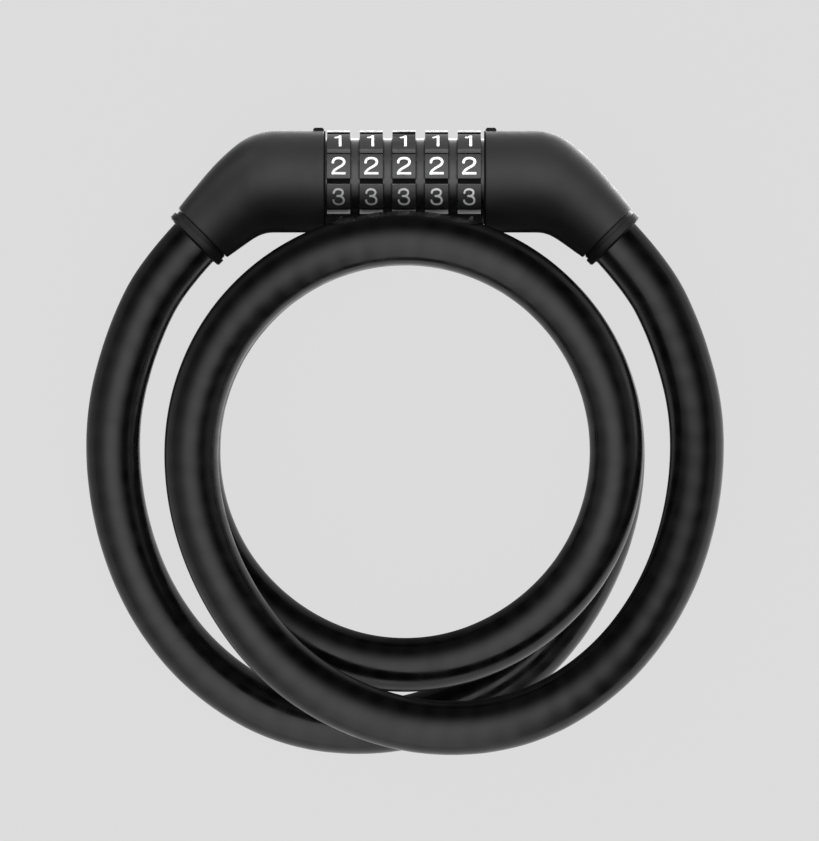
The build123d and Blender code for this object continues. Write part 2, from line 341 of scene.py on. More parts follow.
def ramp(tree, value, low, high, a=0.35, b=0.65):
    """value from a..b to low..high: numbers, or colours."""
    if isinstance(low, (int, float)):
        n = tree.nodes.new("ShaderNodeMapRange")
        n.inputs["From Min"].default_value = a
        n.inputs["From Max"].default_value = b
        n.inputs["To Min"].default_value = low
        n.inputs["To Max"].default_value = high
        tree.links.new(value, n.inputs["Value"])
        return n.outputs["Result"]
    n = tree.nodes.new("ShaderNodeValToRGB")
    n.color_ramp.elements[0].position = a
    n.color_ramp.elements[0].color = (*low, 1)
    n.color_ramp.elements[1].position = b
    n.color_ramp.elements[1].color = (*high, 1)
    tree.links.new(value, n.inputs["Fac"])
    return n.outputs["Color"]


def bump(tree, height, distance, strength=1.0, normal=None):
    n = tree.nodes.new("ShaderNodeBump")
    n.inputs["Distance"].default_value = distance
    n.inputs["Strength"].default_value = strength
    tree.links.new(height, n.inputs["Height"])
    if normal is not None:
        tree.links.new(normal, n.inputs["Normal"])
    return n.outputs["Normal"]


def surface(
    name,
    low,
    high,
    rough,
    grain=5000,
    grain_depth=0.000004,
    mottle=120,
    metallic=0.0,
    ior=1.5,
    stretch=(1, 1, 1),
):
    """A moulded, painted or metal surface: broad mottling in colour and gloss, and a fine grain."""
    m, tree, shader = node_material(name)
    coord = tree.nodes.new("ShaderNodeTexCoord").outputs["Object"]
    mapping = tree.nodes.new("ShaderNodeMapping")
    mapping.inputs["Scale"].default_value = stretch
    tree.links.new(coord, mapping.inputs["Vector"])
    vector = mapping.outputs["Vector"]
    broad = noise(tree, vector, mottle, 4)
    fine = noise(tree, vector, grain, 2)
    tree.links.new(ramp(tree, broad, low, high), shader.inputs["Base Color"])
    tree.links.new(
        ramp(tree, noise(tree, vector, mottle * 3.1, 5), rough[0], rough[1]),
        shader.inputs["Roughness"],
    )
    tree.links.new(bump(tree, fine, grain_depth), shader.inputs["Normal"])
    shader.inputs["Metallic"].default_value = metallic
    shader.inputs["IOR"].default_value = ior
    return m


def sheath_material():
    """Extruded vinyl: faint rings, where the core's lay shows through, broad unevenness and a
    fine grain."""
    m, tree, shader = node_material("sheath_vinyl")
    uv = tree.nodes.new("ShaderNodeUVMap")
    uv.uv_map = "along_around"
    split = tree.nodes.new("ShaderNodeSeparateXYZ")
    tree.links.new(uv.outputs["UV"], split.inputs["Vector"])
    turn = tree.nodes.new("ShaderNodeMath")
    turn.operation = "MULTIPLY"
    turn.inputs[1].default_value = 2 * math.pi
    tree.links.new(split.outputs["Y"], turn.inputs[0])
    parts = []
    for operation in ("COSINE", "SINE"):
        n = tree.nodes.new("ShaderNodeMath")
        n.operation = operation
        tree.links.new(turn.outputs[0], n.inputs[0])
        parts.append(n.outputs[0])
    metres = tree.nodes.new("ShaderNodeMath")
    metres.operation = "MULTIPLY"
    metres.inputs[1].default_value = 0.1
    tree.links.new(split.outputs["X"], metres.inputs[0])

    def place(length_scale, around_scale):
        """A vector of metres along and a circle of the sheath's size, each scaled."""
        join = tree.nodes.new("ShaderNodeCombineXYZ")
        for value, factor, socket in (
            (metres.outputs[0], length_scale, "X"),
            (parts[0], around_scale * SHEATH_R * MM, "Y"),
            (parts[1], around_scale * SHEATH_R * MM, "Z"),
        ):
            n = tree.nodes.new("ShaderNodeMath")
            n.operation = "MULTIPLY"
            n.inputs[1].default_value = factor
            tree.links.new(value, n.inputs[0])
            tree.links.new(n.outputs[0], join.inputs[socket])
        return join.outputs[0]

    def sum_of(operation, a, b):
        n = tree.nodes.new("ShaderNodeMath")
        n.operation = operation
        for socket, value in zip(n.inputs, (a, b)):
            if isinstance(value, (int, float)):
                socket.default_value = value
            else:
                tree.links.new(value, socket)
        return n.outputs[0]

    phase = sum_of(
        "ADD",
        sum_of("MULTIPLY", metres.outputs[0], 2 * math.pi / (RING_PITCH * MM)),
        turn.outputs[0],
    )
    drift = noise(tree, place(70, 10), 1.0, 1.0)
    rings = sum_of("SINE", sum_of("ADD", phase, sum_of("MULTIPLY", drift, 2.0)), 0.0)
    bands = noise(tree, place(240, 80), 1.0, 1.0, 0.4)
    broad = noise(tree, place(90, 90), 1.0, 3)
    grain = noise(tree, place(4500, 4500), 1.0, 2)
    tree.links.new(
        ramp(tree, sum_of("ADD", broad, sum_of("MULTIPLY", rings, 0.15)), SHEATH_LOW, SHEATH_HIGH),
        shader.inputs["Base Color"],
    )
    tree.links.new(
        ramp(tree, bands, SHEATH_ROUGH[0], SHEATH_ROUGH[1]), shader.inputs["Roughness"]
    )
    first = bump(tree, rings, RING_DEPTH * MM, normal=bump(tree, bands, 0.00006))
    tree.links.new(bump(tree, grain, 0.000003, normal=first), shader.inputs["Normal"])
    shader.inputs["IOR"].default_value = 1.5
    return m


SHEATH_LOW, SHEATH_HIGH = (0.003, 0.003, 0.0032), (0.0075, 0.0075, 0.0078)
SHEATH_ROUGH = (0.17, 0.29)
RING_PITCH = 5.96
RING_DEPTH = 0.024
vinyl = sheath_material()
housing_mat = surface(
    "housing_black_abs", (0.004, 0.004, 0.0042), (0.006, 0.006, 0.0062), (0.42, 0.48)
)
housing_mat.node_tree.nodes["Principled BSDF"].inputs["Specular IOR Level"].default_value = 0.3
collar_mat = surface(
    "collar_black_nylon", (0.003, 0.003, 0.0031), (0.0045, 0.0045, 0.0047), (0.4, 0.48)
)
collar_mat.node_tree.nodes["Principled BSDF"].inputs["Specular IOR Level"].default_value = 0.17
edge_mat = surface(
    "housing_edge_black", (0.001, 0.001, 0.001), (0.002, 0.002, 0.002), (0.6, 0.7)
)
edge_mat.node_tree.nodes["Principled BSDF"].inputs["Specular IOR Level"].default_value = 0.06
wheel_mat = surface(
    "wheel_black_abs", (0.004, 0.004, 0.0042), (0.006, 0.006, 0.0063), (0.26, 0.32)
)
# Painted shade: a near-black, dull finish for the notch floors, the lowest part of the notch walls and one wall by the
# 0. It stands in for the shade in these recesses.
notch_shade_mat = surface(
    "wheel_notch_painted_shade", (0.0015, 0.0015, 0.0015), (0.003, 0.003, 0.003), (0.7, 0.85)
)
notch_shade_mat.node_tree.nodes["Principled BSDF"].inputs["Specular IOR Level"].default_value = 0.1
wall_mat = surface(
    "wheel_notch_wall_grey", (0.16, 0.16, 0.163), (0.2, 0.2, 0.204), (0.45, 0.55), mottle=400
)
spacer_mat = surface(
    "spacer_black_acetal", (0.004, 0.004, 0.0042), (0.006, 0.006, 0.0063), (0.22, 0.28)
)
digit_mat = surface(
    "digit_white_paint",
    (0.76, 0.76, 0.77),
    (0.84, 0.84, 0.85),
    (0.42, 0.52),
    grain=9000,
    grain_depth=0.000003,
    mottle=900,
)
mark_mat = surface(
    "index_mark_black", (0.002, 0.002, 0.0021), (0.003, 0.003, 0.0031), (0.4, 0.5)
)
mark_mat.node_tree.nodes["Principled BSDF"].inputs["Specular IOR Level"].default_value = 0.1
steel_mat = surface(
    "turned_steel",
    (0.42, 0.42, 0.415),
    (0.50, 0.50, 0.49),
    (0.26, 0.36),
    grain=2600,
    grain_depth=0.000005,
    metallic=1.0,
    stretch=(4, 1, 1),
)
spring_mat = surface(
    "spring_steel",
    (0.36, 0.37, 0.40),
    (0.46, 0.47, 0.49),
    (0.2, 0.3),
    grain=3000,
    metallic=1.0,
    stretch=(0.3, 1, 1),
)
zinc_mat = surface(
    "cast_zinc_black_coat",
    (0.010, 0.010, 0.0105),
    (0.016, 0.016, 0.0165),
    (0.34, 0.44),
    grain=3500,
    grain_depth=0.00001,
)
hub_mat = surface(
    "hub_zinc_plated",
    (0.44, 0.44, 0.43),
    (0.56, 0.56, 0.55),
    (0.3, 0.42),
    grain=3000,
    grain_depth=0.000006,
    metallic=1.0,
)
give(cable_coil, vinyl)
give(cable_lead, vinyl)

CAD_MATERIALS = {
    "index_mark": mark_mat,
    "elbow_insert": zinc_mat,
    "ferrule_pin": steel_mat,
    "ferrule": steel_mat,
    "cross_pin": steel_mat,
    "lock_barrel": steel_mat,
    "locking_shank": steel_mat,
    "detent_spring": spring_mat,
    "retaining_ring": spacer_mat,
    "wheel_hub": hub_mat,
    "dial_wheel": wheel_mat,
    "spacer_ring": spacer_mat,
    "elbow_cover": housing_mat,
    "cable_collar": collar_mat,
    "core": steel_mat,
    "sheath": vinyl,
}
for node_name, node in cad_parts.items():
    for key, material in CAD_MATERIALS.items():
        if key in node_name:
            if not node.data.materials:
                node.data.materials.append(None)
            for i in range(len(node.material_slots)):
                node.material_slots[i].link = "OBJECT"
                node.material_slots[i].material = material
            break

# ---------------------------------------------------------------------------
# Housings: one closed shell each, swept through the elbow's sections
# ---------------------------------------------------------------------------


def monotone(t, y, at):
    """Piecewise cubic through (t, y) with no overshoot, read at each of at."""
    t, y = np.array(t, float), np.array(y, float)
    h = np.diff(t)
    d = np.diff(y) / h
    m = np.zeros(len(y))
    for i in range(1, len(y) - 1):
        if d[i - 1] * d[i] > 0:
            w1, w2 = 2 * h[i] + h[i - 1], h[i] + 2 * h[i - 1]
            m[i] = (w1 + w2) / (w1 / d[i - 1] + w2 / d[i])
    m[0], m[-1] = d[0], d[-1]
    out = []
    for a in at:
        i = int(np.clip(np.searchsorted(t, a) - 1, 0, len(h) - 1))
        s = (a - t[i]) / h[i]
        out.append(
            y[i] * (1 + 2 * s) * (1 - s) ** 2
            + m[i] * h[i] * s * (1 - s) ** 2
            + y[i + 1] * s * s * (3 - 2 * s)
            + m[i + 1] * h[i] * s * s * (s - 1)
        )
    return np.array(out)


def eased(values, reach):
    """A moving average that leaves the ends where they are."""
    values = np.array(values, float)
    out = values.copy()
    n = len(values)
    for i in range(n):
        k = min(reach, i, n - 1 - i)
        w = np.hanning(2 * k + 3)[1:-1]
        out[i] = float((values[i - k : i + k + 1] * w).sum() / w.sum())
    return out


def elbow_sections(face):
    table = [(face, HEAD_Y, HEAD_R, 0.0)] + ELBOW + [
        (45.20, 48.23, 7.68, 45.0)
    ]
    t = [0.0]
    for a, b in zip(table, table[1:]):
        t.append(t[-1] + math.hypot(b[0] - a[0], b[1] - a[1]))
    at = np.linspace(0, t[-1] - 0.38, 130)
    columns = [monotone(t, [row[i] for row in table], at) for i in range(4)]
    columns = [columns[0]] + [eased(c, 9) for c in columns[1:]]
    return list(zip(*columns))


def elbow_cover(name, side, face, body, node):
    n = 144
    sections = elbow_sections(face)

    def ring(section, radius, shift=0.0):
        x, y, _, tilt = section
        a = math.radians(tilt)
        normal = Vector((side * math.cos(a), -math.sin(a), 0))
        across = normal.cross(Vector((0, 0, 1)))
        centre = Vector((side * x, y, HEAD_Z)) + normal * shift
        return [
            centre
            + (Vector((0, 0, 1)) * math.cos(p) + across * math.sin(p)) * radius
            for p in (2 * math.pi * j / n for j in range(n))
        ]

    rings = []
    first, last = sections[0], sections[-1]
    r0, r1 = 0.4, 0.3
    for shift, inset in ((0.0, 0.3), (0.0, 0.16), (0.06, 0.1), (r0, 0.1)):
        rings.append(ring(first, first[2] - inset, shift))
    for i in range(5):
        a = math.pi / 2 * i / 4
        rings.append(ring(first, first[2] - 0.1 * (1 - math.sin(a)), r0 + 0.1 * (1 - math.cos(a))))
    rings += [
        ring(s, s[2])
        for s in sections[1:-1]
        if s[0] - face > r0 + 0.15 and math.hypot(s[0] - last[0], s[1] - last[1]) > r1 + 0.05
    ]
    for i in range(6):
        a = math.pi / 2 * i / 5
        rings.append(ring(last, last[2] - r1 * (1 - math.cos(a)), -r1 * (1 - math.sin(a))))
    mouth = 6.9
    rings.append(ring(last, mouth, 0))
    rings.append(ring(last, mouth, -2.7))
    rings.append(ring(last, 6.1, -2.7))
    inside = [
        s for s in sections if math.hypot(s[0] - last[0], s[1] - last[1]) > 3.4
    ][::-1]
    for s in inside[::3]:
        rings.append(ring(s, max(s[2] - WALL, 6.05)))
    rings.append(ring(first, first[2] - WALL))
    verts = [v for r in rings for v in r]
    obj = new_object(name, verts, ring_faces(len(rings), n, True))
    crease(obj, 40)
    give(obj, housing_mat)
    obj.data.materials.append(edge_mat)
    for p in obj.data.polygons:
        if abs(p.center.x) < (face + r0 - 0.01) * MM:
            p.material_index = 1
    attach(obj, body)
    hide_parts(node)
    return obj


elbow_cover("housing_barrel_side", -1, -FACE_L, "barrel_side", "barrel_elbow_cover")
elbow_cover("housing_plug_side", 1, FACE_R, "plug_side", "plug_elbow_cover")

# ---------------------------------------------------------------------------
# Collars where the cable goes in
# ---------------------------------------------------------------------------
for side, body, word in ((-1, "barrel_side", "barrel"), (1, "plug_side", "plug")):
    profile = [
        (0.0, 6.04),
        (-0.14, 6.08),
        (-0.16, 6.22),
        (-0.02, 6.34),
        (0.0, 6.40),
        (0.0, 7.57 - 0.36),
        (0.33, 7.57),
        (1.58, 7.57),
        (1.72, 7.50),
        (1.76, 7.36),
        (1.76, 7.08),
        (2.62, 7.08),
        (2.62, 6.80),
        (5.0, 6.80),
        (5.0, 6.04),
    ]
    d = math.sqrt(0.5)
    collar = lathe(
        f"cable_collar_{word}_side",
        profile,
        (side * GLAND[0], GLAND[1], HEAD_Z),
        (-side * d, d, 0),
        144,
    )
    crease(collar, 40)
    give(collar, collar_mat)
    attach(collar, body)
    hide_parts(f"{word}_cable_collar")

# ---------------------------------------------------------------------------
# Number wheels: ten pads with a notch between each two
# ---------------------------------------------------------------------------


def wheel_mesh(name, x):
    outline = []
    half_notch = math.degrees(math.asin(NOTCH_W / 2 / PAD_R))
    for k in range(10):
        middle = 36 * k
        pad = 18 - half_notch
        for i in range(13):
            outline.append((middle - pad + 2 * pad * i / 12, PAD_R))
        floor = half_notch - 0.35
        outline.append((middle + 18 - floor, NOTCH_FLOOR + 0.36))
        outline.append((middle + 18 - floor, NOTCH_FLOOR))
        outline.append((middle + 18, NOTCH_FLOOR))
        outline.append((middle + 18 + floor, NOTCH_FLOOR))
        outline.append((middle + 18 + floor, NOTCH_FLOOR + 0.36))
    n = len(outline)
    x0, x1 = x - WHEEL_W / 2, x + WHEEL_W / 2
    verts = []
    for px, radii in ((x0, None), (x1, None), (x1, 8.72), (x0, 8.72)):
        for angle, radius in outline:
            r = radii or radius
            a = math.radians(angle)
            verts.append((px, HEAD_Y + r * math.cos(a), HEAD_Z + r * math.sin(a)))
    obj = new_object(name, verts, ring_faces(4, n, True), smooth=True)
    bm = bmesh.new()
    bm.from_mesh(obj.data)
    sharp = [
        e
        for e in bm.edges
        if len(e.link_faces) == 2 and e.calc_face_angle(0) > math.radians(35)
    ]
    bmesh.ops.bevel(
        bm,
        geom=sharp,
        offset=0.04 * MM,
        segments=1,
        profile=0.5,
        affect="EDGES",
        clamp_overlap=True,
    )
    bm.to_mesh(obj.data)
    bm.free()
    give(obj, wheel_mat)
    obj.data.materials.append(notch_shade_mat)
    obj.data.materials.append(wall_mat)
    for p in obj.data.polygons:
        p.use_smooth = True
        c = p.center
        r = math.hypot(c.y - HEAD_Y * MM, c.z - HEAD_Z * MM)
        # Painted shade: the notch floor and the lowest 0.3 mm of each notch wall take the near-black notch finish, for
        # the shade deep in the notch.
        if abs(p.normal.x) < 0.3 and r < (NOTCH_FLOOR + 0.3) * MM:
            p.material_index = 1
        radial = (p.normal.y * (c.y - HEAD_Y * MM) + p.normal.z * (c.z - HEAD_Z * MM)) / r
        if abs(p.normal.x) < 0.3 and abs(radial) < 0.5 and (NOTCH_FLOOR + 0.3) * MM < r < PAD_R * MM:
            p.material_index = 2
            # Painted shade: on each wheel, the one notch wall between 12 and 17 degrees (between the 0 and the 1) takes
            # the near-black notch finish too, for the shade that falls on it. The other nine walls stay grey.
            if 12 < math.degrees(math.atan2(c.z - HEAD_Z * MM, c.y - HEAD_Y * MM)) < 17:
                p.material_index = 1
    crease(obj, 28)
    return obj


# ---------------------------------------------------------------------------
# Numbers: strokes of even width, each number one thin closed solid on its pad
# ---------------------------------------------------------------------------
STROKE = 0.265


def smooth_line(points, closed=False, steps=6):
    """Catmull-Rom through the points."""
    p = [np.array(q, float) for q in points]
    out = []
    n = len(p)
    for i in range(n if closed else n - 1):
        if closed:
            a, b, c, d = p[i - 1], p[i], p[(i + 1) % n], p[(i + 2) % n]
        else:
            a = p[i - 1] if i else 2 * p[0] - p[1]
            b, c = p[i], p[i + 1]
            d = p[i + 2] if i + 2 < n else 2 * p[-1] - p[-2]
        for s in range(steps):
            t = s / steps
            out.append(
                0.5
                * (
                    2 * b
                    + (c - a) * t
                    + (2 * a - 5 * b + 4 * c - d) * t * t
                    + (3 * b - a - 3 * c + d) * t**3
                )
            )
    out.append(out[0] if closed else p[-1])
    return out


def oval(cx, cy, rx, ry, power=2.2):
    out = []
    for i in range(49):
        a = 2 * math.pi * i / 48
        c, s = math.cos(a), math.sin(a)
        out.append(
            np.array(
                (
                    cx + rx * math.copysign(abs(c) ** (2 / power), c),
                    cy + ry * math.copysign(abs(s) ** (2 / power), s),
                )
            )
        )
    return out


SIX = [
    oval(0.03, -0.62, 1.22, 1.16),
    smooth_line(
        [
            (1.14, 1.02),
            (0.93, 1.47),
            (0.5, 1.74),
            (0.08, 1.79),
            (-0.45, 1.66),
            (-0.9, 1.22),
            (-1.14, 0.6),
            (-1.2, 0.0),
            (-1.19, -0.62),
        ]
    ),
]
NUMBERS = {
    0: [oval(0, 0, 1.22, 1.775, 2.35)],
    1: [
        [(0.33, -2.045), (0.33, 1.95)],
        smooth_line([(-0.76, 1.06), (-0.32, 1.14), (0.04, 1.34), (0.22, 1.72)]),
    ],
    2: [
        smooth_line(
            [
                (-1.27, 0.66),
                (-1.2, 1.12),
                (-0.92, 1.52),
                (-0.48, 1.74),
                (0.03, 1.79),
                (0.57, 1.72),
                (1.02, 1.44),
                (1.24, 1.0),
                (1.17, 0.5),
                (0.83, 0.08),
                (0.3, -0.27),
                (-0.35, -0.65),
                (-0.9, -1.08),
                (-1.2, -1.5),
                (-1.3, -1.9),
            ]
        ),
        [(-1.57, -1.77), (1.55, -1.77)],
    ],
    3: [
        smooth_line(
            [
                (-1.1, 0.86),
                (-1.0, 1.3),
                (-0.72, 1.6),
                (-0.32, 1.74),
                (0.05, 1.76),
                (0.48, 1.67),
                (0.82, 1.41),
                (0.93, 1.03),
                (0.82, 0.64),
                (0.52, 0.36),
                (0.12, 0.24),
                (-0.32, 0.22),
            ]
        ),
        smooth_line(
            [
                (-0.32, 0.22),
                (0.2, 0.2),
                (0.68, 0.04),
                (1.02, -0.31),
                (1.14, -0.8),
                (1.02, -1.28),
                (0.68, -1.62),
                (0.08, -1.76),
                (-0.46, -1.69),
                (-0.87, -1.45),
                (-1.09, -1.1),
                (-1.16, -0.74),
            ]
        ),
    ],
    4: [
        [(0.62, -2.045), (0.62, 2.0)],
        [(-1.62, -0.92), (1.5, -0.92)],
        [(-1.4, -0.9), (0.55, 1.85)],
    ],
    5: [
        [(-1.1, 1.77), (1.3, 1.77)],
        [(-0.97, 1.95), (-1.2, -0.02)],
        smooth_line(
            [
                (-1.2, -0.02),
                (-0.72, 0.36),
                (-0.1, 0.51),
                (0.5, 0.43),
                (1.04, 0.08),
                (1.28, -0.55),
                (1.18, -1.15),
                (0.78, -1.61),
                (0.1, -1.79),
                (-0.5, -1.73),
                (-1.0, -1.45),
                (-1.28, -0.97),
            ]
        ),
    ],
    6: SIX,
    7: [
        [(-1.5, 1.77), (1.45, 1.77)],
        smooth_line(
            [(1.3, 1.72), (0.72, 0.98), (0.16, 0.05), (-0.24, -0.95), (-0.42, -2.045)]
        ),
    ],
    8: [oval(0, 0.98, 1.0, 0.8), oval(0, -0.77, 1.24, 1.01)],
    9: [[(-q[0], -q[1]) for q in line_points] for line_points in SIX],
}


def distance_grid(lines, xs, ys, half=STROKE):
    """Distance to the strokes' edges at each grid point: negative inside. Ends are cut square."""
    gx, gy = np.meshgrid(xs, ys, indexing="ij")
    best = np.full(gx.shape, 9.0)
    for points in lines:
        closed = np.hypot(points[0][0] - points[-1][0], points[0][1] - points[-1][1]) < 1e-6
        for i in range(len(points) - 1):
            a, b = np.array(points[i], float), np.array(points[i + 1], float)
            length = float(np.hypot(*(b - a)))
            if length < 1e-9:
                continue
            u = (b - a) / length
            s = (gx - a[0]) * u[0] + (gy - a[1]) * u[1]
            off = np.abs((gx - a[0]) * -u[1] + (gy - a[1]) * u[0])
            beyond = np.where(s < 0, -s, np.where(s > length, s - length, 0.0))
            d = np.hypot(off, beyond) - half
            if not closed and i == 0:
                d = np.where(s < 0, np.maximum(off - half, -s), d)
            if not closed and i == len(points) - 2:
                d = np.where(s > length, np.maximum(off - half, s - length), d)
            best = np.minimum(best, d)
    return best


def number_pieces(lines, half=STROKE, cell=0.085):
    """The number cut up along a grid: polygons of (x, y), which share their corners."""
    xs = np.arange(-1.95, 1.951, cell)
    ys = np.arange(-2.25, 2.251, cell)
    d = distance_grid(lines, xs, ys, half)
    d = np.where(np.abs(d) < 0.002, -0.002, d)
    corners, polygons, index = [], [], {}

    def corner(key, point):
        if key not in index:
            index[key] = len(corners)
            corners.append(point)
        return index[key]

    for i in range(len(xs) - 1):
        for j in range(len(ys) - 1):
            loop = [(i, j), (i + 1, j), (i + 1, j + 1), (i, j + 1)]
            values = [d[q] for q in loop]
            if min(values) >= 0:
                continue
            polygon = []
            for q in range(4):
                p0, p1 = loop[q], loop[(q + 1) % 4]
                v0, v1 = values[q], values[(q + 1) % 4]
                if v0 < 0:
                    polygon.append(corner(p0, (xs[p0[0]], ys[p0[1]])))
                if (v0 < 0) != (v1 < 0):
                    lo, hi = min(p0, p1), max(p0, p1)
                    w = d[lo] / (d[lo] - d[hi])
                    polygon.append(
                        corner(
                            (lo, hi),
                            (
                                xs[lo[0]] + (xs[hi[0]] - xs[lo[0]]) * w,
                                ys[lo[1]] + (ys[hi[1]] - ys[lo[1]]) * w,
                            ),
                        )
                    )
            if len(polygon) > 2:
                polygons.append(polygon)
    return corners, polygons


CUT = {k: number_pieces(lines, 0.225 if k == 3 else STROKE) for k, lines in NUMBERS.items()}


def numbers_mesh(name, x):
    """The ten numbers of one wheel, each a thin closed solid set into its pad and 0.03 mm proud."""
    verts, faces = [], []
    for k, (corners, polygons) in CUT.items():
        base = len(verts)
        m = len(corners)
        for r in (PAD_R + 0.03, PAD_R - 0.12):
            for px, py in corners:
                a = math.radians(36 * k) - py / PAD_R
                verts.append(
                    (x + px, HEAD_Y + r * math.cos(a), HEAD_Z + r * math.sin(a))
                )
        edges = {}
        for polygon in polygons:
            faces.append([base + v for v in polygon])
            faces.append([base + m + v for v in polygon[::-1]])
            for a, b in zip(polygon, polygon[1:] + polygon[:1]):
                edges[(a, b)] = True
        for a, b in edges:
            if (b, a) not in edges:
                faces.append([base + b, base + a, base + m + a, base + m + b])
    obj = new_object(name, verts, faces, smooth=False)
    return obj


for i, x in enumerate(WHEEL_X, 1):
    wheel = wheel_mesh(f"number_wheel_{i}", x)
    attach(wheel, f"wheel_{i}")
    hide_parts(f"dial_wheel_{i}")
    numbers = numbers_mesh(f"numbers_{i}", x)
    give(numbers, digit_mat)
    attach(numbers, f"wheel_{i}")

# ---------------------------------------------------------------------------
# Spacer rings between the wheels
# ---------------------------------------------------------------------------
for i in range(4):
    middle = (WHEEL_X[i] + WHEEL_X[i + 1]) / 2
    h = SPACER_W / 2
    profile = round_corners(
        [(-h, 6.0, 0.0), (-h, SPACER_R, 0.03), (h, SPACER_R, 0.03), (h, 6.0, 0.0)], 3
    )
    spacer = lathe(
        f"spacer_{i + 1}", profile, (middle, HEAD_Y, HEAD_Z), (1, 0, 0), 144
    )
    crease(spacer, 35)
    give(spacer, spacer_mat)
    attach(spacer, "barrel_side")
    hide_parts(f"spacer_ring_{i + 1}")

front_ring = lathe(
    "barrel_front_ring",
    round_corners(
        [(-17.95, 6.3, 0.0), (-17.95, 9.50, 0.0), (-17.275, 9.50, 0.03), (-17.275, 6.3, 0.0)], 4
    ),
    (0, HEAD_Y, HEAD_Z),
    (1, 0, 0),
    144,
)
crease(front_ring, 35)
give(front_ring, spacer_mat)
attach(front_ring, "barrel_side")

end_ring = lathe(
    "barrel_end_ring",
    round_corners(
        [(16.86, 5.95, 0.0), (16.86, 9.48, 0.03), (19.6, 9.40, 0.25), (19.6, 5.95, 0.0)], 4
    ),
    (0, HEAD_Y, HEAD_Z),
    (1, 0, 0),
    144,
)
crease(end_ring, 35)
give(end_ring, spacer_mat)
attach(end_ring, "barrel_side")
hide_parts("barrel_retaining_ring")

# ---------------------------------------------------------------------------
# Floor and light
# ---------------------------------------------------------------------------
floor_mesh = bpy.data.meshes.new("floor")
floor_mesh.from_pydata(
    [(-20, -20, 0), (20, -20, 0), (20, 20, 0), (-20, 20, 0)], [], [(0, 1, 2, 3)]
)
floor = bpy.data.objects.new("floor", floor_mesh)
scene.collection.objects.link(floor)
floor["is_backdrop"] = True
m, tree, shader = node_material("floor_pale")
shader.inputs["Base Color"].default_value = (0.03, 0.03, 0.03, 1)
shader.inputs["Roughness"].default_value = 0.95
shader.inputs["Specular IOR Level"].default_value = 0.0
shader.inputs["Emission Color"].default_value = (1, 1, 1, 1)
shader.inputs["Emission Strength"].default_value = 0.7
floor.data.materials.append(m)
floor.visible_glossy = False
floor.visible_diffuse = False
floor.visible_shadow = False


def group(name, objects):
    """A collection for a light to be kept to."""
    made = bpy.data.collections.new(name)
    for o in objects:
        made.objects.link(o)
    return made


def table(tree, value, low, high, rows):
    """A radiance read off rows of (value, radiance), straight between them."""
    n = tree.nodes.new("ShaderNodeMapRange")
    n.inputs["From Min"].default_value = low
    n.inputs["From Max"].default_value = high
    tree.links.new(value, n.inputs["Value"])
    r = tree.nodes.new("ShaderNodeValToRGB")
    stops = r.color_ramp.elements
    while len(stops) < len(rows):
        stops.new(0.5)
    for stop, (at, level) in zip(stops, sorted(rows)):
        stop.position = (at - low) / (high - low)
    for stop, (at, level) in zip(stops, sorted(rows)):
        stop.color = (level, level, level, 1)
    tree.links.new(n.outputs["Result"], r.inputs["Fac"])
    return r.outputs["Color"]


def number(tree, operation, a, b=None):
    n = tree.nodes.new("ShaderNodeMath")
    n.operation = operation
    for socket, value in zip(n.inputs, (a, b)):
        if value is None:
            continue
        if isinstance(value, (int, float)):
            socket.default_value = value
        else:
            tree.links.new(value, socket)
    return n.outputs[0]


